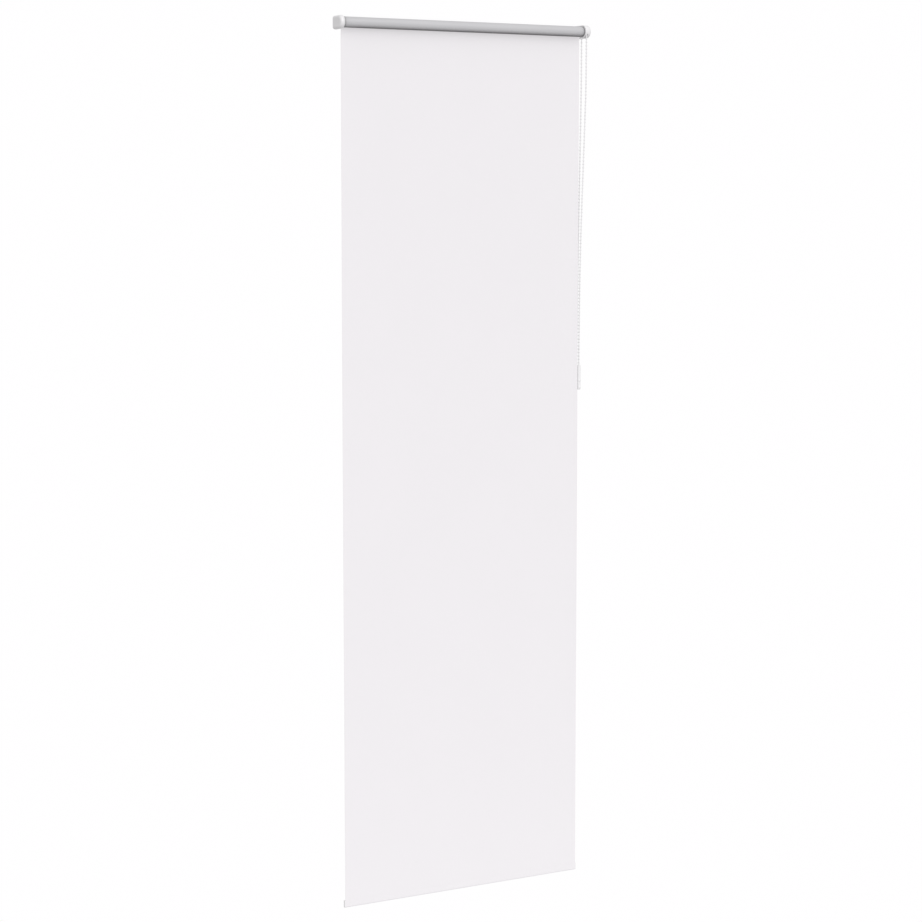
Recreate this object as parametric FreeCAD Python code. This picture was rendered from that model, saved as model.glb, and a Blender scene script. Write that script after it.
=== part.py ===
import FreeCAD, Part

import math
import os

from FreeCAD import Placement, Rotation, Vector

# A chain-operated roller blind. Millimetres. +X is the chain side, +Y points at the wall,
# +Z is up. The wall is the plane Y = 0, and the roller's axis is at Y = -axis_offset, Z = 0.

# Driving sizes
cloth_width = 460.0
drop = 1489.0            # roller axis to the underside of the hem
axis_offset = 21.0       # wall to roller axis, so that the full roll and the hem clear the wall
cloth_thickness = 0.35

# Fits, as radial or one-sided clearances
running = 0.05           # a shaft that turns in its hole
seat = 0.05              # a piece pushed home in its seat
free_gap = 0.3           # pieces on different bodies that pass each other

# Roller
tube_od = 17.0
tube_wall = 0.9
tube_inset = 1.0         # the tube ends this far inside the cloth's edges
key_width = 1.8
key_height = 1.2
strip_thickness = 0.12
strip_angle = 55.0       # degrees of the tube's surface that the adhesive covers
flange_inset = 0.2       # plug and adaptor flanges, below the tube's outside

# End covers and brackets
cover_height = 22.0
cover_wall = 1.2
cover_fillet = 4.0
left_cover_depth = 6.6
left_cover_gap = 2.2     # cloth edge to the left cover
right_cover_depth = 11.6
right_cover_gap = 0.8    # cloth edge to the right cover
plate_thickness = 1.3
plate_room = 1.9         # right bracket's tenon to the cover's end wall
foot_thickness = 1.5
foot_reach = 15.0        # foot beyond the cloth's edge, behind the roll
wall_hole_radius = 2.1
wall_hole_spread = 12.0  # between the two holes of one bracket
wall_hole_inset = 6.0    # hole to the cloth's edge

# Idle end
pin_radius = 2.0
pin_length = 19.0
pin_reach = 4.6          # pin beyond the plug's face
collar_radius = 3.2
collar_thickness = 1.2
chamber_radius = 3.5
plug_length = 24.0
plug_cap_length = 3.0
chamber_floor = 2.0
idle_wire = 0.6
idle_turns = 7.0

# Clutch
barrel_radius = 4.2
barrel_depth = 23.0      # barrel inside the tube
barrel_tip = 3.0         # barrel beyond the far wrap spring's space
shoulder_radius = 6.2
tenon_side = 5.0
tenon_tip = 0.8
clip_thickness = 0.7
clip_radius = 5.4
clip_groove = 0.55
wrap_wire = 0.8
wrap_turns = 3
wrap_pitch = 0.92
wrap_gap = 1.4           # between the two wrap springs
sleeve_wall = 0.5
adaptor_length = 24.0
rib_half_angle = 20.0
tang_half_angle = 26.0
slot_half_angle = 36.0

# Chain
bead_diameter = 3.2
bead_pitch = 6.0
pockets = 8
wheel_width = 4.2
string_slot = 1.5
string_depth = 1.0
pocket_clearance = 0.12
chain_slot_side = 0.7    # between the chain and the slot's sides
chain_tail = 5.4         # straight chain below the axis that the wheel still touches
guard_thickness = 0.8

# Chain tensioner on the wall, beside the blind
tensioner_shift = 0.3         # outwards from the sprocket's plane
tensioner_bend = 3.0          # chain's bend radius
tensioner_side = 0.25         # between the chain and the walls beside it
tensioner_base = 1.2
tensioner_wall = 0.8
tensioner_top = 579.0         # below the roller's axis
tensioner_height = 43.0
tensioner_bend_drop = 15.0    # tensioner top to bend centre
tensioner_hole_radius = 1.6
tensioner_hole_first = 12.0   # bend centre to the upper screw hole
tensioner_hole_spread = 12.0
tensioner_fillet = 1.2

# Hem
bar_thickness = 3.0
bar_height = 12.0
bar_wall = 0.6
cap_protrusion = 1.2
cap_tongue = 10.0

# Values that follow
edge = cloth_width / 2
tube_radius = tube_od / 2
bore_radius = tube_radius - tube_wall
tube_half = edge - tube_inset
flange_radius = tube_radius - flange_inset
strip_radius = tube_radius + strip_thickness
roll_radius = strip_radius + cloth_thickness
axis_y = -axis_offset
cover_radius = cover_height / 2
cavity_radius = cover_radius - cover_wall
pitch_radius = bead_pitch / (2 * math.sin(math.pi / pockets))
chain_radius = bead_diameter / 2
left_in = -edge - left_cover_gap
left_out = left_in - left_cover_depth
right_in = edge + right_cover_gap
right_out = right_in + right_cover_depth
wheel_in = right_in + guard_thickness + free_gap
wheel_out = wheel_in + wheel_width
chain_x = (wheel_in + wheel_out) / 2
right_plate = right_out - cover_wall - plate_room - tenon_tip - plate_thickness
wrap_mean = barrel_radius + running + wrap_wire / 2
wrap_outer = wrap_mean + wrap_wire / 2
sleeve_in = wrap_outer + 2 * running
sleeve_out = sleeve_in + sleeve_wall
adaptor_bore = sleeve_out + 2 * running
wrap_length = (wrap_turns + 2 * tang_half_angle / 360) * wrap_pitch + wrap_wire
sheet_front = axis_y + roll_radius + running
pocket_thickness = bar_thickness + 2 * (seat + cloth_thickness)
pocket_height = bar_height + 2 * (seat + cloth_thickness)
pocket_top = -drop + pocket_height


def at_axis(x):
    return Vector(x, axis_y, 0)


def rod(radius, x0, x1):
    """A cylinder on the roller's axis."""
    return Part.makeCylinder(radius, x1 - x0, at_axis(x0), Vector(1, 0, 0))


def pipe(outer, inner, x0, x1):
    return rod(outer, x0, x1).cut(rod(inner, x0 - 1, x1 + 1))


def block(x0, x1, y0, y1, z0, z1):
    return Part.makeBox(x1 - x0, y1 - y0, z1 - z0, Vector(x0, y0, z0))


def prism_x(corners, x0, x1):
    """Extrudes a closed outline of (y, z) corners from x0 to x1."""
    points = [Vector(x0, y, z) for y, z in corners]
    face = Part.Face(Part.makePolygon(points + points[:1]))
    return face.extrude(Vector(x1 - x0, 0, 0))


def sector(radius, middle, half, x0, x1):
    """A wedge about the roller's axis: middle and half in degrees, 0 at +Y and 90 at +Z."""
    def rim(angle, reach):
        turn = math.radians(angle)
        return axis_y + reach * math.cos(turn), reach * math.sin(turn)
    reach = 2 * radius
    angles = [middle - half, middle - half / 2, middle, middle + half / 2, middle + half]
    return prism_x([(axis_y, 0)] + [rim(angle, reach) for angle in angles], x0, x1)


def d_shape(radius, x0, x1, back):
    """A round front about the roller's axis that runs straight back to the plane Y = back."""
    front = rod(radius, x0, x1)
    return front.fuse(block(x0, x1, axis_y, back, -radius, radius)).removeSplitter()


def round_outer_edges(shape, x, radius):
    """Fillets the edges that lie in the plane X = x, but for the one against the wall."""
    def chosen(e):
        box = e.BoundBox
        flat = abs(box.XMin - x) < 1e-4 and abs(box.XMax - x) < 1e-4
        return flat and box.YMin < -1e-3
    return shape.makeFillet(radius, [e for e in shape.Edges if chosen(e)])


def d_cover(x_mouth, x_end):
    """An end cover: a D-shaped shell, open at its mouth and against the wall."""
    x0, x1 = min(x_mouth, x_end), max(x_mouth, x_end)
    shell = round_outer_edges(d_shape(cover_radius, x0, x1, 0), x_end, cover_fillet)
    inward = math.copysign(cover_wall, x_mouth - x_end)
    c0, c1 = sorted([x_end + inward, x_mouth + inward])
    cavity = d_shape(cavity_radius, c0, c1, 1)
    return shell.cut(round_outer_edges(cavity, x_end + inward, cover_fillet - cover_wall))


def coil(wire, mean, pitch, turns, x0, start=0.0):
    """A round-wire coil about the roller's axis. Its first wire centre is at x0, and it
    starts at the angle start (0 at +Y, 90 at +Z) and winds towards +X."""
    helix = Part.makeHelix(pitch, pitch * turns, mean)
    section = Part.Wire([Part.Circle(Vector(mean, 0, 0), Vector(0, 1, 0), wire / 2).toShape()])
    solid = Part.Wire(helix).makePipeShell([section], True, True)
    lay = Rotation(Vector(0, 0, 1), Vector(1, 0, 0))
    first = lay.multVec(Vector(1, 0, 0))
    ahead = math.degrees(math.atan2(first.z, first.y))
    turned = Rotation(Vector(1, 0, 0), start - ahead).multiply(lay)
    solid.Placement = Placement(at_axis(x0), turned)
    return solid


def key_cut(radius, x0, x1):
    """The space that the tube's inner key needs along a plug or an adaptor."""
    half = key_width / 2 + seat
    return block(x0, x1, axis_y - half, axis_y + half, radius - key_height - seat, radius + 1)


def bracket(plate_0, plate_1, foot_end, hole_x):
    """An L of sheet metal: a D-shaped end plate, and a foot with two screw holes."""
    half = cavity_radius - seat
    plate = d_shape(half, plate_0, plate_1, 0)
    foot = block(min(plate_0, foot_end), max(plate_1, foot_end), -foot_thickness, 0, -half, half)
    shape = plate.fuse(foot).removeSplitter()
    for side in (-1, 1):
        centre = Vector(hole_x, 1, side * wall_hole_spread / 2)
        shape = shape.cut(Part.makeCylinder(wall_hole_radius, foot_thickness + 2, centre,
                                            Vector(0, -1, 0)))
    return shape


def rounded_bar(x0, x1, y0, y1, z0, z1, radius):
    """A block along X whose four long edges are rounded."""
    shape = block(x0, x1, y0, y1, z0, z1)
    return shape.makeFillet(radius, [e for e in shape.Edges if e.BoundBox.XLength > 1e-3])


def route(points):
    """The path of a cord through its points: straight runs joined by tangent arcs."""
    spans = [b - a for a, b in zip(points, points[1:])]
    edges, start, radii = [], points[0], []
    for n, corner in enumerate(points[1:-1]):
        before, after = Vector(spans[n]), Vector(spans[n + 1])
        reach = 0.45 * min(before.Length, after.Length)
        turn = before.getAngle(after)
        before.normalize()
        after.normalize()
        entry, leave = corner - before * reach, corner + after * reach
        radius = reach / math.tan(turn / 2)
        inward = (after - before).normalize()
        centre = corner + inward * (radius / math.cos(turn / 2))
        edges += [Part.LineSegment(start, entry).toShape(),
                  Part.Arc(entry, centre - inward * radius, leave).toShape()]
        start = leave
        radii.append(radius)
    edges.append(Part.LineSegment(start, points[-1]).toShape())
    return Part.Wire(edges), min(radii)


def cord_tube(name, points):
    """A strand's plain tube. It prints the tightest bend, and volume over section x length."""
    path, tightest = route(points)
    along = (points[1] - points[0]).normalize()
    section = Part.Wire([Part.Circle(points[0], along, chain_radius).toShape()])
    solid = path.makePipeShell([section], True, False)
    share = solid.Volume / (math.pi * chain_radius ** 2 * path.Length)
    print(f"{name}: {path.Length:.1f} mm, tightest bend {tightest:.0f} mm, volume {share:.4f}")
    return solid


def half_ring(centre, radius, normal, start, tail=0.0):
    """Half a turn of the chain's tube about centre, from start by the right-hand rule, with
    a straight tail at each end."""
    middle = Rotation(normal, 90).multVec(start)
    ends = [centre + start * radius, centre - start * radius]
    edges = [Part.Arc(ends[0], centre + middle * radius, ends[1]).toShape()]
    if tail:
        tails = [end - middle * tail for end in ends]
        edges = [Part.LineSegment(tails[0], ends[0]).toShape(), *edges,
                 Part.LineSegment(ends[1], tails[1]).toShape()]
    first = ends[0] - middle * tail
    section = Part.Wire([Part.Circle(first, middle, chain_radius).toShape()])
    return Part.Wire(edges).makePipeShell([section], True, False)


parts = {}

# Idle end: bracket and cover
left_plate = left_in - plate_thickness
pin_hole = rod(pin_radius + running, left_plate - 1, left_in + 1)
parts["left_bracket"] = bracket(left_plate, left_in, -edge + foot_reach,
                                -edge + wall_hole_inset).cut(pin_hole)
parts["left_cover"] = d_cover(left_in, left_out)

# Chain end: bracket, cover, and the guard that closes the cover's mouth
tenon_hole = tenon_side / 2 + seat
parts["right_bracket"] = bracket(
    right_plate, right_plate + plate_thickness, edge - foot_reach, edge - wall_hole_inset
).cut(block(right_plate - 1, right_plate + plate_thickness + 1,
            axis_y - tenon_hole, axis_y + tenon_hole, -tenon_hole, tenon_hole))
slot_reach = pitch_radius + chain_radius + chain_slot_side
slot_half = chain_radius + chain_slot_side
chain_slot = block(chain_x - slot_half, chain_x + slot_half,
                   axis_y - slot_reach, axis_y + slot_reach, -cover_radius - 1, 0)
parts["right_cover"] = d_cover(right_in, right_out).cut(chain_slot)
guard = d_shape(cavity_radius, right_in, right_in + guard_thickness,
                -foot_thickness - free_gap)
parts["chain_guard"] = guard.cut(rod(sleeve_out + free_gap, right_in - 1, wheel_in))

# Roller: keyed tube, adhesive strip and the turn of cloth on it
key = block(-tube_half, tube_half, axis_y - key_width / 2, axis_y + key_width / 2,
            bore_radius - key_height, bore_radius + tube_wall / 2)
parts["roller_tube"] = pipe(tube_radius, bore_radius, -tube_half, tube_half).fuse(key)
strip = pipe(strip_radius, tube_radius, -tube_half, tube_half)
parts["adhesive_strip"] = strip.common(
    sector(strip_radius, 90, strip_angle / 2, -tube_half, tube_half))
parts["fabric_roll"] = pipe(roll_radius, strip_radius, -edge, edge)

# Idle plug with its sprung pin
plug_face = -tube_half - tube_inset
plug_end = -tube_half + plug_length
chamber_end = plug_end - chamber_floor
plug = rod(flange_radius, plug_face, -tube_half).fuse(
    rod(bore_radius - seat, -tube_half, plug_end))
plug = plug.cut(rod(chamber_radius, plug_face - 1, chamber_end))
parts["idle_plug"] = plug.cut(key_cut(bore_radius, -tube_half, plug_end + 1))
parts["idle_plug_cap"] = pipe(chamber_radius, pin_radius + running,
                              plug_face, plug_face + plug_cap_length)
pin_tip = plug_face - pin_reach
collar = plug_face + plug_cap_length
pin = rod(pin_radius, pin_tip, pin_tip + pin_length)
pin = pin.makeChamfer(pin_radius / 4, [e for e in pin.Edges
                                       if e.BoundBox.XMax < pin_tip + 1e-3])
parts["idle_pin"] = pin.fuse(rod(collar_radius, collar, collar + collar_thickness))
spring_start = collar + collar_thickness + idle_wire / 2 + running
spring_end = chamber_end - idle_wire / 2 - running
spring_mean = pin_radius + 2 * running + idle_wire / 2
parts["idle_spring"] = coil(idle_wire, spring_mean,
                            (spring_end - spring_start) / idle_turns, idle_turns, spring_start)

# Clutch: fixed core, retaining clip, two wrap springs and the drive adaptor
core_tip = tube_half - barrel_depth
shoulder = wheel_out + free_gap
core = rod(barrel_radius, core_tip, shoulder).fuse(rod(shoulder_radius, shoulder, right_plate))
core = core.fuse(block(right_plate, right_plate + plate_thickness + tenon_tip,
                       axis_y - tenon_side / 2, axis_y + tenon_side / 2,
                       -tenon_side / 2, tenon_side / 2)).removeSplitter()
clip_x = core_tip + barrel_tip / 3
clip_root = barrel_radius - clip_groove
core = core.cut(pipe(barrel_radius + 1, clip_root, clip_x, clip_x + clip_thickness))
parts["clutch_core"] = core
clip = pipe(clip_radius, clip_root, clip_x, clip_x + clip_thickness)
parts["clutch_clip"] = clip.cut(sector(clip_radius, -90, 40, clip_x - 1, clip_x + 2))

first_wrap = clip_x + clip_thickness + free_gap + wrap_wire / 2
for n, name in enumerate(("wrap_spring_inner", "wrap_spring_outer")):
    x = first_wrap + n * (wrap_length + wrap_gap)
    turns = wrap_turns + 2 * tang_half_angle / 360
    body = coil(wrap_wire, wrap_mean, wrap_pitch, turns, x, -90 - tang_half_angle)
    for side, tang_x in ((-1, x), (1, x + wrap_pitch * turns)):
        turn = math.radians(-90 + side * tang_half_angle)
        out = Vector(0, math.cos(turn), math.sin(turn))
        root = at_axis(tang_x) + out * wrap_mean
        body = body.fuse(Part.makeCylinder(wrap_wire / 2, sleeve_out - wrap_mean, root, out))
    parts[name] = body

sleeve_start = clip_x + clip_thickness + free_gap
springs_end = first_wrap + 2 * wrap_length + wrap_gap
adaptor_start = tube_half - adaptor_length
adaptor_face = tube_half + tube_inset
adaptor = rod(flange_radius, tube_half, adaptor_face).fuse(
    rod(bore_radius - seat, adaptor_start, tube_half))
adaptor = adaptor.cut(rod(adaptor_bore, adaptor_start - 1, adaptor_face + 1))
rib = pipe(adaptor_bore + 0.2, wrap_outer + 2 * running, sleeve_start, springs_end)
rib = rib.common(sector(adaptor_bore + 1, -90, rib_half_angle, sleeve_start, springs_end))
adaptor = adaptor.fuse(rib)
parts["drive_adaptor"] = adaptor.cut(key_cut(bore_radius, adaptor_start - 1, tube_half))

# Chain sprocket: a bead wheel with a sleeve over the wrap springs
wheel = rod(pitch_radius, wheel_in, wheel_out)
groove = pipe(pitch_radius + 1, pitch_radius - string_depth,
              chain_x - string_slot / 2, chain_x + string_slot / 2)
wheel = wheel.cut(groove)
for n in range(pockets):
    turn = math.radians(360 / pockets * n)
    bead = at_axis(chain_x) + Vector(0, math.cos(turn), math.sin(turn)) * pitch_radius
    wheel = wheel.cut(Part.makeSphere(chain_radius + pocket_clearance, bead))
sleeve = pipe(sleeve_out, sleeve_in, sleeve_start, wheel_in)
slot = sector(sleeve_out, -90, slot_half_angle, sleeve_start - 1, springs_end + free_gap)
wheel = wheel.cut(rod(barrel_radius + running, wheel_in - 1, wheel_out + 1))
parts["chain_sprocket"] = wheel.fuse(sleeve.cut(slot))

# Chain: over the sprocket, down both sides, and round the tensioner's peg
bend_z = -tensioner_top - tensioner_bend_drop
bend_x = chain_x + tensioner_shift
bend_y = -tensioner_base - free_gap - chain_radius - tensioner_bend
front_top = Vector(chain_x, axis_y - pitch_radius, -chain_tail)
back_top = Vector(chain_x, axis_y + pitch_radius, -chain_tail)
front_bottom = Vector(bend_x, bend_y - tensioner_bend, bend_z + seat)
back_bottom = Vector(bend_x, bend_y + tensioner_bend, bend_z + seat)
parts["chain_over_sprocket"] = half_ring(at_axis(chain_x), pitch_radius,
                                         Vector(1, 0, 0), Vector(0, 1, 0), chain_tail)
front_route = [
    front_top,
    Vector(front_top.x, front_top.y, -88),
    Vector(234.0, -25.9, -140),
    Vector(234.0, -22.8, -195),
    Vector(234.05, -19.5, -250),
    Vector(234.1, -16.3, -305),
    Vector(234.15, -13.5, -360),
    Vector(234.2, -11.5, -415),
    Vector(234.25, -10.2, -470),
    Vector(234.3, -9.4, -525),
    Vector(front_bottom.x, front_bottom.y, -572),
    front_bottom,
]
back_route = [
    back_top,
    Vector(back_top.x, back_top.y, -70),
    Vector(234.0, -12.5, -120),
    Vector(234.0, -11.3, -170),
    Vector(234.0, -9.9, -220),
    Vector(234.05, -8.4, -272),
    Vector(234.1, -7.0, -325),
    Vector(234.15, -5.7, -380),
    Vector(234.2, -4.7, -435),
    Vector(234.25, -3.9, -490),
    Vector(234.3, -3.35, -540),
    Vector(back_bottom.x, back_bottom.y, -580),
    back_bottom,
]
parts["chain_front_strand"] = cord_tube("chain_front_strand", front_route)
parts["chain_back_strand"] = cord_tube("chain_back_strand", back_route)
parts["chain_bottom_bend"] = half_ring(Vector(bend_x, bend_y, bend_z), tensioner_bend,
                                       Vector(1, 0, 0), Vector(0, -1, 0))

# Tensioner: base on the wall, snap-on cover, and the peg that holds the chain down
half_width = chain_radius + tensioner_side + tensioner_wall
t_x0, t_x1 = bend_x - half_width, bend_x + half_width
t_front = bend_y - tensioner_bend - chain_radius - free_gap - tensioner_wall
t_z1 = -tensioner_top
t_z0 = t_z1 - tensioner_height
base = block(t_x0, t_x1, -tensioner_base, 0, t_z0, t_z1)
cover = block(t_x0, t_x1, t_front, -tensioner_base, t_z0, t_z1)
cover = cover.makeFillet(tensioner_fillet, [
    e for e in cover.Edges
    if e.BoundBox.YMax < t_front + 1e-3 or
    (e.BoundBox.YLength > 1 and e.BoundBox.ZMax < t_z0 + 1e-3)])
chamber_z = bend_z - tensioner_bend - chain_radius - free_gap
cover = cover.cut(block(t_x0 + tensioner_wall, t_x1 - tensioner_wall,
                        t_front + tensioner_wall, -tensioner_base + 1, chamber_z, t_z1 + 1))
for n in range(2):
    z = bend_z - tensioner_hole_first - n * tensioner_hole_spread
    hole = Part.makeCylinder(tensioner_hole_radius, -t_front + 2,
                             Vector(bend_x, 1, z), Vector(0, -1, 0))
    base, cover = base.cut(hole), cover.cut(hole)
parts["tensioner_base"] = base
parts["tensioner_cover"] = cover
peg_radius = tensioner_bend - chain_radius - free_gap
parts["tensioner_peg"] = Part.makeCylinder(peg_radius, 2 * (half_width - tensioner_wall),
                                           Vector(t_x0 + tensioner_wall, bend_y, bend_z),
                                           Vector(1, 0, 0))

# Cloth: the drop, and the pocket at its foot with the bar and its end caps
parts["fabric_drop"] = block(-edge, edge, sheet_front, sheet_front + cloth_thickness,
                             pocket_top, 0)
p_y0, p_y1 = sheet_front, sheet_front + pocket_thickness
pocket_round = pocket_thickness / 2 - seat
pocket = rounded_bar(-edge, edge, p_y0, p_y1, -drop, pocket_top, pocket_round)
b_y0, b_y1 = p_y0 + cloth_thickness + seat, p_y1 - cloth_thickness - seat
b_z0, b_z1 = -drop + cloth_thickness + seat, pocket_top - cloth_thickness - seat
bar_round = bar_thickness / 2 - seat
pocket_bore = rounded_bar(-edge - 1, edge + 1, b_y0 - seat, b_y1 + seat,
                          b_z0 - seat, b_z1 + seat, bar_round + seat)
parts["hem_pocket"] = pocket.cut(pocket_bore)
bar_bore_round = bar_thickness / 2 - bar_wall - seat
bar = rounded_bar(-edge, edge, b_y0, b_y1, b_z0, b_z1, bar_round)
parts["hem_bar"] = bar.cut(rounded_bar(
    -edge - 1, edge + 1, b_y0 + bar_wall, b_y1 - bar_wall,
    b_z0 + bar_wall, b_z1 - bar_wall, bar_bore_round))
for name, side in (("hem_cap_left", -1), ("hem_cap_right", 1)):
    face_0, face_1 = sorted([side * edge, side * (edge + cap_protrusion)])
    tongue_0, tongue_1 = sorted([side * (edge - cap_tongue), side * edge])
    inset = bar_wall + seat
    plate = rounded_bar(face_0, face_1, p_y0, p_y1, -drop, pocket_top, pocket_round)
    tongue = rounded_bar(tongue_0, tongue_1, b_y0 + inset, b_y1 - inset,
                         b_z0 + inset, b_z1 - inset, bar_bore_round - seat)
    parts[name] = plate.fuse(tongue)

os.makedirs("parts", exist_ok=True)
for name, shape in parts.items():
    shape.exportStep(f"parts/{name}.step")
    state = "" if shape.isValid() and len(shape.Solids) == 1 else "  CHECK THIS ONE"
    print(f"{name}: {shape.Volume:.1f} mm3, solids {len(shape.Solids)}{state}")
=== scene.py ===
import bmesh
import bpy
import math
from mathutils import Matrix, Vector


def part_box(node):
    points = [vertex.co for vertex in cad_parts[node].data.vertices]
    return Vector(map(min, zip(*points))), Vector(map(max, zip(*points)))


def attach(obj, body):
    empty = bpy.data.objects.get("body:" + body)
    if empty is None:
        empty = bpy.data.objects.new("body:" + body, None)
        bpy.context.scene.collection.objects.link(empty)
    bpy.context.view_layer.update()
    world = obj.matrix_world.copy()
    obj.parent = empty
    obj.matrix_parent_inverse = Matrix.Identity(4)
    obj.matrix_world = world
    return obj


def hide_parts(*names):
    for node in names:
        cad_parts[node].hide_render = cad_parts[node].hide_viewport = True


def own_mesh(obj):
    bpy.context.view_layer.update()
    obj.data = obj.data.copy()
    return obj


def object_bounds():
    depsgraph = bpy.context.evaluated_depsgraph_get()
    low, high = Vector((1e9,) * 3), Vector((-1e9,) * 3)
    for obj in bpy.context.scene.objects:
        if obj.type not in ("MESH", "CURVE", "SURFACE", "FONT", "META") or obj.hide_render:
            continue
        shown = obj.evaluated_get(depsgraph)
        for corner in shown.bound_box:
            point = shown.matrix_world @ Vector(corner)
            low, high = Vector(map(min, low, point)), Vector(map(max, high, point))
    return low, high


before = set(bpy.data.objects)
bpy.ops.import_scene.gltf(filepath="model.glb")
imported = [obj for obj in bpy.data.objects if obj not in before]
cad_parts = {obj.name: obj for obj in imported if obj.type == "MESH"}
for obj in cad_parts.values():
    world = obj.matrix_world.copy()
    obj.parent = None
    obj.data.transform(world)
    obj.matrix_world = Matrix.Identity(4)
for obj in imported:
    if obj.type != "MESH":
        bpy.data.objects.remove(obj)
cad_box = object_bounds()


# ---- Studio -------------------------------------------------------------------------------
# The blind hangs in the air as if on its wall, in front of nothing but white. The camera
# stands to its left, looking a little down, with a long lens.
scene = bpy.context.scene
scene.view_settings.view_transform = "Standard"

camera_down, camera_turn = 5.874, 29.072    # degrees
camera_data = bpy.data.cameras.new("camera")
camera_data.lens = 88.78
camera_data.sensor_width = 36
camera_data.shift_y = -0.03
camera_data.clip_end = 100
camera = bpy.data.objects.new("camera", camera_data)
camera.location = (-1.8902, -3.4032, -0.2885)
camera.rotation_euler = (math.radians(90 - camera_down), 0, math.radians(-camera_turn))
scene.collection.objects.link(camera)
scene.camera = camera


class Port:
    """One output of a node. Sums and products of it add their Math nodes."""

    def __init__(self, tree, socket):
        self.tree, self.socket = tree, socket

    def math(self, operation, other):
        return self.tree.node("ShaderNodeMath", {"operation": operation},
                              {0: self, 1: other})

    def __add__(self, other):
        return self.math("ADD", other)

    def __mul__(self, other):
        return self.math("MULTIPLY", other)

    __radd__, __rmul__ = __add__, __mul__


class Nodes:
    """The nodes of a world or a material."""

    def __init__(self, owner):
        owner.use_nodes = True
        self.nodes, self.links = owner.node_tree.nodes, owner.node_tree.links

    def node(self, kind, settings, inputs, out=0):
        """Adds a node with its settings, then the value or link of each of its sockets."""
        made = self.nodes.new(kind)
        for name, value in settings.items():
            setattr(made, name, value)
        for name, value in inputs.items():
            self.plug(value, made.inputs[name])
        return Port(self, made.outputs[out])

    def plug(self, value, socket):
        if isinstance(value, Port):
            self.links.new(value.socket, socket)
        else:
            socket.default_value = value


# The white that is seen is brighter than the light it sheds on the blind.
world = bpy.data.worlds.new("studio")
scene.world = world
sky = Nodes(world)
sky.nodes.remove(sky.nodes["Background"])
seen, shed = [sky.node("ShaderNodeBackground", {},
                       {"Color": (1, 0.995, 1, 1), "Strength": strength})
              for strength in (1.0, 0.56)]
camera_ray = sky.node("ShaderNodeLightPath", {}, {}, "Is Camera Ray")
either = sky.node("ShaderNodeMixShader", {}, {0: camera_ray, 1: shed, 2: seen})
sky.plug(either, sky.nodes["World Output"].inputs["Surface"])

# One wide soft lamp, in two parts: only the weaker one casts a shadow.
toward_lamp = Vector((-0.12, -0.45, 0.32))
lamp_spread = 38    # degrees
for name, energy, casts in (("key_light", 0.14, True), ("fill_light", 1.58, False)):
    light = bpy.data.lights.new(name, "SUN")
    light.energy = energy
    light.angle = math.radians(lamp_spread)
    light.use_shadow = casts
    lamp = bpy.data.objects.new(name, light)
    lamp.rotation_euler = toward_lamp.to_track_quat("Z", "Y").to_euler()
    scene.collection.objects.link(lamp)


# ---- Bead chain ---------------------------------------------------------------------------
# An endless loop of white moulded beads on a thin cord. It goes over the sprocket in the
# right cover, hangs down both sides and bends round the peg of the tensioner.
mm = 0.001


class Paint(Nodes):
    """A finish, which starts as one even colour and roughness."""

    def __init__(self, name, colour, roughness, metallic=0.0, specular=0.5):
        self.material = bpy.data.materials.new(name)
        super().__init__(self.material)
        self.material.diffuse_color = (*colour, 1)
        self.shader = self.nodes["Principled BSDF"]
        for socket, value in (("Base Color", (*colour, 1)), ("Roughness", roughness),
                              ("Metallic", metallic), ("Specular IOR Level", specular)):
            self.shader.inputs[socket].default_value = value

    def place(self, stretch=(1, 1, 1)):
        """Where a point is on the piece, in metres, stretched along each axis."""
        here = self.node("ShaderNodeTexCoord", {}, {}, "Object")
        return self.node("ShaderNodeVectorMath", {"operation": "MULTIPLY"},
                         {0: here, 1: stretch})

    def noise(self, size, detail=2.0, stretch=(1, 1, 1)):
        """Soft mottle from 0 to 1, of blobs about size metres across."""
        return self.node("ShaderNodeTexNoise", {}, {
            "Vector": self.place(stretch), "Scale": 1 / size, "Detail": detail})

    def bands(self, axis, pitch):
        """Parallel threads or lines from 0 to 1, pitch metres apart along one axis."""
        lines = 2 * math.pi / 20    # the Wave texture's scale for one line a metre
        return self.node("ShaderNodeTexWave", {"bands_direction": axis}, {
            "Vector": self.place(), "Scale": lines / pitch, "Distortion": 0.0}, "Fac")

    def mixed(self, share, low, high):
        """The colour low where share is 0, and high where it is 1."""
        return self.node("ShaderNodeMix", {"data_type": "RGBA"},
                         {0: share, 6: low, 7: high}, 2)

    def blend(self, share, low, high):
        return self.mixed(share, (*low, 1), (*high, 1))

    def bump(self, height, distance, strength=1.0):
        """Relief of the given depth in metres."""
        normal = self.node("ShaderNodeBump", {}, {
            "Height": height, "Distance": distance, "Strength": strength})
        self.plug(normal, self.shader.inputs["Normal"])

    def vary(self, **sockets):
        """Gives base_color or roughness a value that changes over the surface."""
        for name, value in sockets.items():
            self.plug(value, self.shader.inputs[name.replace("_", " ").title()])


def add_piece(name, mesh, body, slot, *paints):
    """Puts a piece in the scene, riding on a body, with its finishes."""
    for paint in paints:
        mesh.materials.append(paint.material)
    piece = bpy.data.objects.new(name, mesh)
    scene.collection.objects.link(piece)
    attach(piece, body)
    return piece


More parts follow.
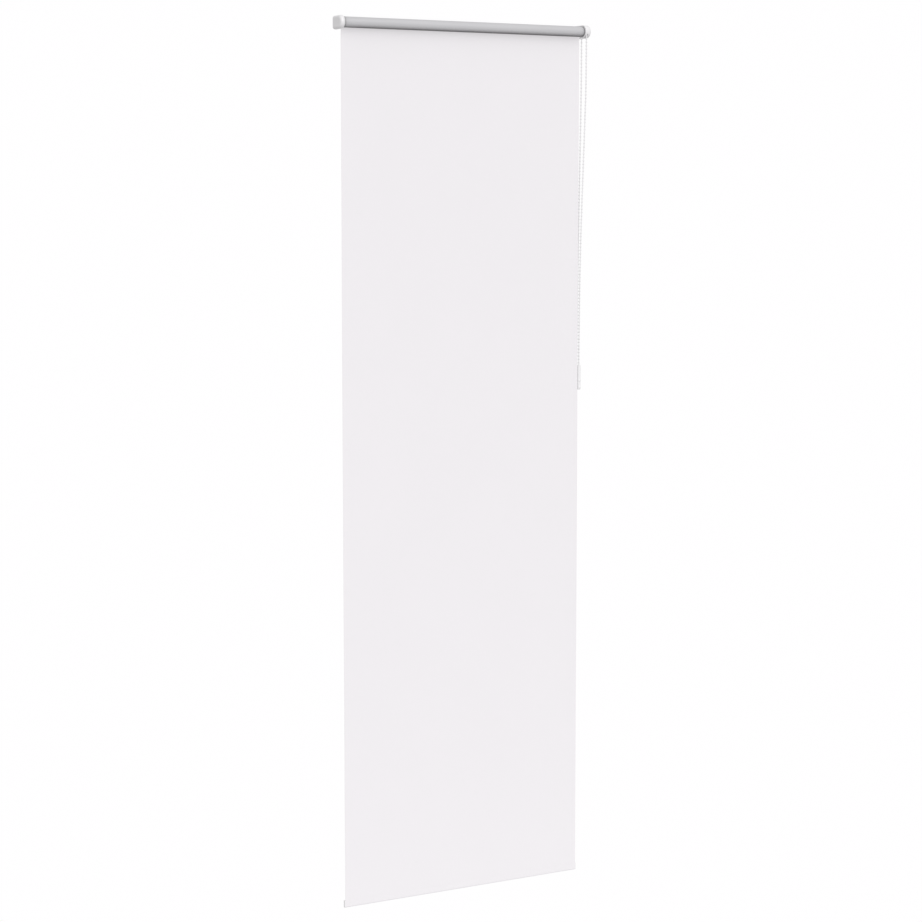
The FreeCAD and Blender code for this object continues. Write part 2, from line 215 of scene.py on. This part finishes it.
# The chain's line, from the front of the sprocket down, round the peg and up behind.
bead_radius = 1.6 * mm
cord_radius = 0.75 * mm
bead_step = 6.0 * mm
bend_lead = 3 * mm    # straight chain above the bend round the peg
sprocket_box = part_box("chain_sprocket")
over_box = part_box("chain_over_sprocket")
bend_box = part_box("chain_bottom_bend")
axis_y = (sprocket_box[0][1] + sprocket_box[1][1]) / 2
chain_x = (over_box[0][0] + over_box[1][0]) / 2
tail_z = over_box[0][2]
pitch_radius = over_box[1][2] - bead_radius
low_x = (bend_box[0][0] + bend_box[1][0]) / 2
low_front = bend_box[0][1] + bead_radius
low_back = bend_box[1][1] - bead_radius
bend_start = bend_box[1][2] + bend_lead
bend_foot = bend_box[0][2] + bead_radius
route = [
    (chain_x, axis_y - pitch_radius, tail_z),
    (chain_x, axis_y - pitch_radius, -0.088),
    (0.2340, -0.0259, -0.140),
    (0.2340, -0.0228, -0.195),
    (0.23405, -0.0195, -0.250),
    (0.2341, -0.0163, -0.305),
    (0.23415, -0.0135, -0.360),
    (0.2342, -0.0115, -0.415),
    (0.23425, -0.0102, -0.470),
    (0.2343, -0.0094, -0.525),
    (low_x, low_front, -0.572),
    (low_x, low_front, bend_start),
    (low_x, low_front, bend_foot),
    (low_x, low_back, bend_foot),
    (low_x, low_back, bend_start),
    (low_x, low_back, -0.580),
    (0.2343, -0.00335, -0.540),
    (0.23425, -0.0039, -0.490),
    (0.2342, -0.0047, -0.435),
    (0.23415, -0.0057, -0.380),
    (0.2341, -0.0070, -0.325),
    (0.23405, -0.0084, -0.272),
    (0.2340, -0.0099, -0.220),
    (0.2340, -0.0113, -0.170),
    (0.2340, -0.0125, -0.120),
    (chain_x, axis_y + pitch_radius, -0.070),
    (chain_x, axis_y + pitch_radius, tail_z),
]


def smooth_line(points, steps=12):
    """The points along a smooth curve that is steered by the given ones."""
    data = bpy.data.curves.new("line", "CURVE")
    data.dimensions = "3D"
    data.resolution_u = steps
    spline = data.splines.new("NURBS")
    spline.points.add(len(points) - 1)
    for point, place in zip(spline.points, points):
        point.co = (*place, 1)
    spline.order_u = 3
    spline.use_endpoint_u = True
    holder = bpy.data.objects.new("line", data)
    scene.collection.objects.link(holder)
    mesh = bpy.data.meshes.new_from_object(holder)
    line = [v.co.copy() for v in mesh.vertices]
    bpy.data.objects.remove(holder)
    bpy.data.meshes.remove(mesh)
    return line


def along(line, distance):
    """The point and direction at a distance along a line of points."""
    for a, b in zip(line, line[1:]):
        step = (b - a).length
        if distance <= step or b is line[-1]:
            break
        distance -= step
    direction = (b - a).normalized()
    return a + direction * min(distance, step), direction


def line_length(line):
    return sum((b - a).length for a, b in zip(line, line[1:]))


def ring(built, centre, direction, radius, sides):
    """A ring of vertices round a line, turned the same way all along it."""
    nearly_along = 0.2    # sine of the angle at which the other axis is taken
    side = direction.cross(Vector((1, 0, 0)))
    if side.length < nearly_along:
        side = direction.cross(Vector((0, 1, 0)))
    side.normalize()
    other = direction.cross(side)
    turns = [2 * math.pi * n / sides for n in range(sides)]
    return [built.verts.new(centre + radius * (math.cos(t) * side + math.sin(t) * other))
            for t in turns]


def bridge(built, rings):
    """Skins a row of rings and closes both ends."""
    for low, high in zip(rings, rings[1:]):
        count = len(low)
        for n in range(count):
            m = (n + 1) % count
            built.faces.new((low[n], low[m], high[m], high[n]))
    built.faces.new(rings[0][::-1])
    built.faces.new(rings[-1])


def mesh_of(built, name):
    """The finished mesh, smooth all over."""
    mesh = bpy.data.meshes.new(name)
    built.to_mesh(mesh)
    built.free()
    mesh.shade_smooth()
    return mesh


bead_sides, cord_sides = 16, 8
bead_latitudes = range(-75, 76, 15)    # degrees, with a flat end beyond the last
mould_line = 1.015                     # share of the bead's radius, at its middle
shortest_cord = 0.2 * mm


def beaded(name, line, first, count, step):
    """Cord with a bead at each step: a barrel with round ends and a faint mould line."""
    built = bmesh.new()
    places = [first + n * step for n in range(count)]
    for n, place in enumerate(places):
        centre, direction = along(line, place)
        rings = []
        for angle in bead_latitudes:
            lift = math.radians(angle)
            swell = bead_radius * (mould_line if angle == 0 else 1.0)
            rings.append(ring(built, centre + direction * bead_radius * math.sin(lift),
                              direction, swell * math.cos(lift), bead_sides))
        bridge(built, rings)
        start = 0 if n == 0 else place
        stop = line_length(line) if n == count - 1 else places[n + 1]
        for low, high in ((start, place), (place, stop)):
            if high - low < shortest_cord:
                continue
            ends = [along(line, low + (high - low) * t) for t in (0, 0.5, 1)]
            bridge(built, [ring(built, c, d, cord_radius, cord_sides) for c, d in ends])
    built.normal_update()
    return mesh_of(built, name)


chain_paint = Paint("chain_plastic", (0.84, 0.83, 0.84), 0.32)
chain_tone = chain_paint.noise(4 * mm)
chain_paint.vary(
    base_color=chain_paint.blend(chain_tone, (0.80, 0.79, 0.80), (0.88, 0.87, 0.88)),
    roughness=0.26 + chain_tone * 0.14)
chain_paint.bump(chain_paint.noise(0.5 * mm), 0.02 * mm)

# The hanging part of the loop, with a whole number of beads from end to end.
hang = smooth_line(route)
tail = -tail_z
lead = bead_step - tail
hang_run = line_length(hang) - 2 * lead
hang_count = round(hang_run / bead_step) + 1
hang_step = hang_run / (hang_count - 1)
chain = add_piece("bead_chain", beaded("bead_chain", hang, lead, hang_count, hang_step),
                  "wall_side", "chain_plastic", chain_paint)
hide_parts("chain_front_strand", "chain_back_strand", "chain_bottom_bend")

# The half turn over the sprocket has a bead in each pocket of the wheel's upper half. Its
# smooth line is steered by corners outside the wheel, one between each two pockets.
sprocket_pockets = 8
half_pocket = math.pi / sprocket_pockets
corner_reach = pitch_radius / math.cos(half_pocket)
corner_turns = [(2 * n + 1) * half_pocket for n in range(-1, sprocket_pockets // 2 + 1)]
over = smooth_line([
    (chain_x, axis_y + pitch_radius, tail_z),
    *[(chain_x, axis_y + corner_reach * math.cos(turn), corner_reach * math.sin(turn))
      for turn in corner_turns],
    (chain_x, axis_y - pitch_radius, tail_z)])
over_count = sprocket_pockets // 2 + 1
over_pitch = 2 * math.pi * pitch_radius / sprocket_pockets
wrap = add_piece(
    "bead_chain_over_sprocket",
    beaded("bead_chain_over_sprocket", over, tail, over_count, over_pitch),
    "sprocket", "chain_plastic", chain_paint)
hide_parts("chain_over_sprocket")


# ---- Wall brackets ------------------------------------------------------------------------
# One small bracket at each end, folded from 1.3 mm steel and powder-coated white. Each is
# screwed to the wall through two holes in its foot.
def paint_nodes(paint, *names):
    """Gives CAD pieces their finish."""
    for name in names:
        for material_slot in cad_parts[name].material_slots:
            material_slot.material = paint.material


bracket_paint = Paint("bracket_steel", (0.80, 0.80, 0.80), 0.42)
orange_peel = bracket_paint.noise(0.9 * mm, 3.0)
bracket_tone = bracket_paint.noise(9 * mm, 4.0)
bracket_paint.vary(
    base_color=bracket_paint.blend(bracket_tone, (0.74, 0.74, 0.74), (0.86, 0.86, 0.86)),
    roughness=0.34 + orange_peel * 0.18)
bracket_paint.bump(orange_peel, 0.04 * mm)
paint_nodes(bracket_paint, "left_bracket", "right_bracket")


# ---- End covers ---------------------------------------------------------------------------
# Snap-on covers of white satin ABS, one piece each, that hide the brackets. A guard closes
# the mouth of the right one, between the cloth and the chain.
cover_paint = Paint("cover_plastic", (0.85, 0.84, 0.85), 0.36)
cover_tone = cover_paint.noise(14 * mm, 3.0)
spark = cover_paint.noise(0.35 * mm, 4.0)
flow = cover_paint.noise(5 * mm, 2.0, (0.25, 1, 1))
cover_paint.vary(
    base_color=cover_paint.blend(cover_tone, (0.82, 0.81, 0.82), (0.88, 0.87, 0.88)),
    roughness=0.30 + flow * 0.08 + spark * 0.06)
cover_paint.bump(spark + flow * 0.5, 0.015 * mm)
paint_nodes(cover_paint, "left_cover", "right_cover", "chain_guard")


# ---- Roller tube --------------------------------------------------------------------------
# A 17 mm extruded aluminium tube with a key along its bore. A strip of double-sided tape
# along it holds the end of the cloth.
tube_paint = Paint("tube_metal", (0.78, 0.79, 0.80), 0.36, metallic=1.0)
die_lines = tube_paint.noise(0.4 * mm, 3.0, (0.01, 1, 1))
tube_tone = tube_paint.noise(18 * mm, 3.0)
tube_paint.vary(
    base_color=tube_paint.blend(tube_tone, (0.70, 0.71, 0.73), (0.84, 0.85, 0.86)),
    roughness=0.28 + die_lines * 0.22)
tube_paint.bump(die_lines, 0.03 * mm)
paint_nodes(tube_paint, "roller_tube")

tape_paint = Paint("adhesive", (0.78, 0.74, 0.62), 0.22)
tape_mottle = tape_paint.noise(2.5 * mm, 4.0)
tape_paint.vary(
    base_color=tape_paint.blend(tape_mottle, (0.70, 0.66, 0.54), (0.84, 0.80, 0.70)),
    roughness=0.15 + tape_mottle * 0.25)
tape_paint.bump(tape_mottle, 0.03 * mm)
paint_nodes(tape_paint, "adhesive_strip")


# ---- Idle end -----------------------------------------------------------------------------
# A nylon plug pressed into the tube, with a cap that keeps in a spring and the steel pin
# the roller turns on. Pressing the pin in frees that end from its bracket.
plug_paint = Paint("plug_plastic", (0.74, 0.74, 0.73), 0.44)
plug_tone = plug_paint.noise(3 * mm, 4.0)
plug_paint.vary(
    base_color=plug_paint.blend(plug_tone, (0.68, 0.68, 0.67), (0.80, 0.80, 0.79)),
    roughness=0.36 + plug_tone * 0.16)
plug_paint.bump(plug_paint.noise(0.5 * mm, 3.0), 0.03 * mm)
paint_nodes(plug_paint, "idle_plug", "idle_plug_cap")

pin_paint = Paint("pin_steel", (0.62, 0.63, 0.65), 0.28, metallic=1.0)
turned = pin_paint.bands("X", 0.25 * mm)
plating = pin_paint.noise(1.5 * mm, 4.0)
pin_paint.vary(base_color=pin_paint.blend(plating, (0.54, 0.55, 0.58), (0.72, 0.72, 0.72)),
               roughness=0.20 + plating * 0.20)
pin_paint.bump(turned, 0.008 * mm)
paint_nodes(pin_paint, "idle_pin")

spring_paint = Paint("spring_steel", (0.50, 0.50, 0.52), 0.30, metallic=1.0)
drawn = spring_paint.noise(0.3 * mm, 3.0)
spring_paint.vary(base_color=spring_paint.blend(drawn, (0.40, 0.40, 0.42), (0.62, 0.62, 0.63)),
                  roughness=0.22 + drawn * 0.20)
spring_paint.bump(drawn, 0.01 * mm)
paint_nodes(spring_paint, "wrap_spring_inner", "wrap_spring_outer")

# The spring round the pin closes up as the pin is pressed in against it.
wire_radius = 0.3 * mm
coils, coil_steps = 7, 20
spring_low, spring_high = [Vector(corner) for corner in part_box("idle_spring")]
coil_radius = (spring_high.z - spring_low.z) / 2 - wire_radius
coil_rise = (spring_high.x - spring_low.x - 2 * wire_radius) / (2 * math.pi * coils)
spring_built = bmesh.new()
spring_rings = []
for n in range(coils * coil_steps + 1):
    turn = 2 * math.pi * n / coil_steps
    out_y, out_z = coil_radius * math.cos(turn), coil_radius * math.sin(turn)
    spring_rings.append(ring(
        spring_built, Vector((spring_low.x + wire_radius + coil_rise * turn,
                              axis_y + out_y, out_z)),
        Vector((coil_rise, -out_z, out_y)).normalized(), wire_radius, cord_sides))
bridge(spring_built, spring_rings)
bmesh.ops.recalc_face_normals(spring_built, faces=spring_built.faces)
pin_spring = add_piece("pin_spring", mesh_of(spring_built, "pin_spring"), "roller",
                       "spring_steel", spring_paint)
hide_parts("idle_spring")
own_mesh(pin_spring)


# ---- Clutch -------------------------------------------------------------------------------
# A fixed core on the right bracket, gripped by two wrap springs. The sprocket's sleeve
# frees them and turns the adaptor that is keyed into the tube. All of it is filled nylon.
clutch_paint = Paint("clutch_plastic", (0.66, 0.66, 0.67), 0.48)
fibres = clutch_paint.noise(0.6 * mm, 4.0, (0.35, 1, 1))
clutch_paint.vary(
    base_color=clutch_paint.blend(fibres, (0.58, 0.58, 0.59), (0.74, 0.74, 0.75)),
    roughness=0.38 + fibres * 0.22)
clutch_paint.bump(fibres, 0.03 * mm)
paint_nodes(clutch_paint, "clutch_core", "drive_adaptor", "chain_sprocket")
paint_nodes(spring_paint, "clutch_clip")


# ---- Cloth --------------------------------------------------------------------------------
# Plain-woven polyester, 0.35 mm thick, coated white toward the room and silver-grey behind.
# It comes off the back of the roller, so the roll shows the grey side.
cloth = 0.35 * mm
crease = 35    # degrees, the least turn of the surface that shows as an edge


def slab(name, outer, inner):
    """A skin of some thickness between two grids of points, with a rim round its edges.

    Its finishes are the outer side's, the inner side's and the rim's, in that order.
    """
    built = bmesh.new()
    skins = [[[built.verts.new(p) for p in row] for row in grid] for grid in (outer, inner)]
    rows, columns = len(outer), len(outer[0])
    for layer, skin in enumerate(skins):
        for r in range(rows - 1):
            for c in range(columns - 1):
                corners = (skin[r][c], skin[r][c + 1], skin[r + 1][c + 1], skin[r + 1][c])
                built.faces.new(corners[::-1] if layer else corners).material_index = layer
    edge = ([(0, c) for c in range(columns)] + [(r, columns - 1) for r in range(1, rows)]
            + [(rows - 1, c) for c in range(columns - 2, -1, -1)]
            + [(r, 0) for r in range(rows - 2, 0, -1)])
    for (r0, c0), (r1, c1) in zip(edge, edge[1:] + edge[:1]):
        built.faces.new((skins[0][r1][c1], skins[0][r0][c0], skins[1][r0][c0],
                         skins[1][r1][c1])).material_index = len(skins)
    bmesh.ops.recalc_face_normals(built, faces=built.faces)
    mesh = mesh_of(built, name)
    mesh.set_sharp_from_angle(angle=math.radians(crease))
    return mesh


def spread(low, high, count):
    """Evenly spaced values from low to high."""
    return [low + (high - low) * n / (count - 1) for n in range(count)]


thread = 0.42 * mm
face_paint = Paint("cloth_face", (0.88, 0.87, 0.88), 0.62, specular=0.35)
warp, weft = face_paint.bands("X", thread), face_paint.bands("Z", thread)
face_tone = face_paint.noise(0.12, 3.0)
slubs = face_paint.noise(1.2 * mm, 3.0, (1, 1, 0.12))
face_paint.vary(
    base_color=face_paint.blend(face_tone * 0.6 + slubs * 0.4,
                                (0.868, 0.848, 0.868), (0.892, 0.870, 0.892)),
    roughness=0.56 + slubs * 0.12)
face_paint.bump(warp * 0.5 + weft * 0.5 + slubs * 0.3, 0.05 * mm, 0.7)


def grey_backing(name):
    """The cloth's coated back, and its colour for a piece that alters it."""
    paint = Paint(name, (0.58, 0.575, 0.59), 0.46, metallic=0.12, specular=0.4)
    threads = paint.bands("X", thread)
    streaks = paint.noise(7 * mm, 4.0, (0.06, 1, 1))
    grain = paint.noise(0.6 * mm, 3.0)
    colour = paint.blend(streaks * 0.7 + grain * 0.3, (0.555, 0.55, 0.565),
                         (0.625, 0.62, 0.635))
    paint.vary(base_color=colour, roughness=0.40 + grain * 0.14)
    paint.bump(threads * 0.6 + grain * 0.5, 0.04 * mm, 0.6)
    return paint, colour


back_paint, _ = grey_backing("cloth_back")

edge_paint = Paint("cloth_edge", (0.80, 0.79, 0.80), 0.7)
edge_tone = edge_paint.noise(1.5 * mm, 3.0)
edge_paint.vary(
    base_color=edge_paint.blend(edge_tone, (0.74, 0.73, 0.74), (0.86, 0.85, 0.86)))
edge_paint.bump(edge_tone, 0.03 * mm)


# ---- Cloth on the roller ------------------------------------------------------------------
# The last turn of cloth, which stays on the tube when the blind is right down. Its outer
# end runs off the back into the drop, and its inner end lies under that one.
roll_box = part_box("fabric_roll")
roll_radius = (roll_box[1][2] - roll_box[0][2]) / 2
half = roll_box[1][0]
lap_step = 0.02 * mm
roll_slack = 0.012 * mm
wound_share = 0.9    # of the cloth's thickness, pressed by the winding
roll_rows, roll_columns = 121, 47

# Painted shade: where the roll turns under, close to the drop behind it, an occlusion mask
# mixes the grey toward near-black, standing in for the shade that falls there.
roll_paint, roll_colour = grey_backing("cloth_back_on_roller")
painted_shade_occlusion = roll_paint.node("ShaderNodeAmbientOcclusion", {"samples": 12},
                           {"Distance": 0.1}, "AO")
clear_of_painted_shade = roll_paint.node("ShaderNodeMapRange", {}, {
    "Value": painted_shade_occlusion, "From Min": 0.80, "From Max": 0.975, "To Min": 0.0, "To Max": 1.0})
# The near-black below is painted shade, not a colour of the coating.
roll_paint.vary(
    base_color=roll_paint.mixed(clear_of_painted_shade, (0.09, 0.088, 0.09, 1), roll_colour))


def turn_of_cloth(depth):
    """One turn round the tube, as rows of points at a depth below the roll's outside."""
    rows = []
    for turn in spread(0, 2 * math.pi, roll_rows):
        row = []
        for x in spread(-half, half, roll_columns):
            ripple = math.sin(41 * x + 3 * turn) + math.sin(97 * x - 2 * turn) - 2
            radius = (roll_radius - depth + roll_slack * ripple
                      - lap_step * turn / (2 * math.pi))
            row.append(Vector((x, axis_y + radius * math.cos(turn), radius * math.sin(turn))))
        rows.append(row)
    return rows


rolled = add_piece("cloth_on_roller",
                   slab("cloth_on_roller", turn_of_cloth(0),
                        turn_of_cloth(cloth * wound_share)),
                   "roller", "cloth", roll_paint, face_paint, edge_paint)
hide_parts("fabric_roll")


# ---- Cloth drop ---------------------------------------------------------------------------
# The cloth from the roller to the hem, hanging flat by its own weight and the bar's. Its
# hot-cut edges curl back a little, and it is never quite flat.
drop_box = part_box("fabric_drop")
drop_front = drop_box[0][1]
hem_gap = 0.03 * mm
drop_foot = drop_box[0][2] + hem_gap
run_off = 3 * mm      # where the cloth leaves the roll, it starts thinner
run_off_share = 0.35
drop_rows, drop_columns = 149, 33
sway_depth = 0.16 * mm
curl_depth, curl_width = 0.30 * mm, 12 * mm


def hang_of_cloth(depth):
    """The drop, as rows of points at a depth behind its front."""
    edge_points = [half - curl_width / 2, half - 2 * mm, half]
    columns = ([-x for x in reversed(edge_points)]
               + spread(-half + curl_width, half - curl_width, drop_columns) + edge_points)
    rows = []
    for z in spread(0, drop_foot, drop_rows):
        free = math.sin(math.pi * z / drop_foot) ** 0.5 if 0 > z > drop_foot else 0
        thinned = min(1, run_off_share + (1 - run_off_share) * -z / run_off)
        row = []
        for x in columns:
            sway = sway_depth * (math.sin(9.3 * x + 4.1 * z) + math.sin(17.1 * x - 6.7 * z + 1)
                                 + 0.6 * math.sin(31 * x + 12 * z + 2))
            curl = curl_depth * max(0, 1 - (half - abs(x)) / curl_width) ** 2
            row.append(Vector((x, drop_front + (sway + curl) * free + depth * thinned, z)))
        rows.append(row)
    return rows


drop = add_piece("cloth_drop", slab("cloth_drop", hang_of_cloth(0), hang_of_cloth(cloth)),
                 "wall_side", "cloth", face_paint, back_paint, edge_paint)
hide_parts("fabric_drop")
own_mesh(drop)


# ---- Hem ----------------------------------------------------------------------------------
# The foot of the cloth is folded back round a flat aluminium bar and welded to itself, and
# a white plastic cap closes each end of the bar.
hem_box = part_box("hem_pocket")
fold = 1.85 * mm
weld_depth = 0.09 * mm
# Two pressed lines behind: how far below the upper fold, in mm, and whether pressed there.
weld_lines = ((5.5, 0), (5.1, 1), (3.9, 1), (3.5, 0), (2.6, 0), (2.2, 1), (1.0, 1), (0.6, 0))
front_points, fold_points, hem_columns = 7, 9, 35


def round_the_bar(depth):
    """The hem, from the top of its front round the bar and up to its top behind."""
    low, high = Vector(hem_box[0]), Vector(hem_box[1])
    path = [(low.y + depth, z) for z in spread(high.z, low.z + fold, front_points)]
    corners = ((low.y + fold, low.z + fold, 180), (high.y - fold, low.z + fold, 270),
               (high.y - fold, high.z - fold, 0))
    for y, z, start in corners:
        if start == 0:
            path += [(high.y - depth - weld_depth * pressed * (depth == 0), z - below * mm)
                     for below, pressed in weld_lines]
        for step in spread(start, start + 90, fold_points):
            turn = math.radians(step)
            path.append((y + (fold - depth) * math.cos(turn),
                         z + (fold - depth) * math.sin(turn)))
    path.append((low.y + cloth * 1.1, high.z - depth))
    return [[Vector((x, y, z)) for x in spread(-half, half, hem_columns)] for y, z in path]


sleeve = add_piece("hem_sleeve", slab("hem_sleeve", round_the_bar(0), round_the_bar(cloth)),
                   "hem", "cloth", face_paint, back_paint, edge_paint)
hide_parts("hem_pocket")
around = line_length([row[0] for row in round_the_bar(0)])

bar_paint = Paint("bar_aluminium", (0.80, 0.81, 0.82), 0.34, metallic=1.0)
bar_lines = bar_paint.noise(0.5 * mm, 3.0, (0.01, 1, 1))
bar_paint.vary(base_color=bar_paint.blend(bar_lines, (0.72, 0.73, 0.75), (0.86, 0.87, 0.88)),
               roughness=0.26 + bar_lines * 0.20)
bar_paint.bump(bar_lines, 0.02 * mm)
paint_nodes(bar_paint, "hem_bar")

cap_paint = Paint("hem_cap_plastic", (0.88, 0.87, 0.88), 0.40)
cap_tone = cap_paint.noise(2 * mm, 3.0)
cap_paint.vary(base_color=cap_paint.blend(cap_tone, (0.85, 0.84, 0.85), (0.91, 0.90, 0.91)),
               roughness=0.34 + cap_tone * 0.12)
cap_paint.bump(cap_paint.noise(0.4 * mm, 3.0), 0.02 * mm)
paint_nodes(cap_paint, "hem_cap_left", "hem_cap_right")


# ---- Chain tensioner ----------------------------------------------------------------------
# A small white housing screwed to the wall. Its snap-on cover and peg hold the loop of the
# chain down, so that it can't hang free.
tensioner_paint = Paint("tensioner_plastic", (0.88, 0.87, 0.88), 0.30)
tensioner_tone = tensioner_paint.noise(8 * mm, 3.0)
tensioner_grain = tensioner_paint.noise(0.35 * mm, 4.0)
tensioner_paint.vary(
    base_color=tensioner_paint.blend(tensioner_tone, (0.86, 0.85, 0.86), (0.92, 0.91, 0.92)),
    roughness=0.25 + tensioner_grain * 0.12)
tensioner_paint.bump(tensioner_grain, 0.015 * mm)
paint_nodes(tensioner_paint, "tensioner_base", "tensioner_cover")
paint_nodes(pin_paint, "tensioner_peg")

# Two push-in caps of the same plastic hide the screws. The profile is in mm, from the foot
# of the stem to the middle of the domed face: the depth behind the cover, and the radius.
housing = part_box("tensioner_cover")
cap_profile = ((1.0, 1.35), (0.0, 1.45), (0.0, 2.45), (-0.3, 2.4), (-0.6, 2.1), (-0.85, 1.5),
               (-1.0, 0.7))
cap_sides = 28
cap_crease = 50    # degrees
for name, height in (("lower", 4 * mm), ("upper", 16 * mm)):
    cap_built = bmesh.new()
    bridge(cap_built, [
        ring(cap_built, Vector((low_x, housing[0][1] + depth * mm, housing[0][2] + height)),
             Vector((0, -1, 0)), radius * mm, cap_sides) for depth, radius in cap_profile])
    bmesh.ops.recalc_face_normals(cap_built, faces=cap_built.faces)
    cap_mesh = mesh_of(cap_built, f"screw_cap_{name}")
    cap_mesh.set_sharp_from_angle(angle=math.radians(cap_crease))
    add_piece(f"screw_cap_{name}", cap_mesh, "wall_side", "tensioner_plastic", tensioner_paint)


# ---- Floor --------------------------------------------------------------------------------
# A plain pale floor under the blind, well below the hem, as if the blind hung high on its
# wall. It is part of the studio and not of the blind.
floor_radius = 1.2
floor_below_hem = 0.9
floor_paint = Paint("floor_paint", (0.86, 0.86, 0.86), 0.9)
floor_paint.vary(base_color=floor_paint.blend(floor_paint.noise(0.4), (0.84, 0.84, 0.84),
                                              (0.88, 0.88, 0.88)))
floor_built = bmesh.new()
bmesh.ops.create_circle(floor_built, cap_ends=True, segments=96, radius=floor_radius,
                        matrix=Matrix.Translation((0, 0, cad_box[0][2] - floor_below_hem)))
floor_mesh = mesh_of(floor_built, "floor")
floor_mesh.materials.append(floor_paint.material)
floor = bpy.data.objects.new("floor", floor_mesh)
scene.collection.objects.link(floor)
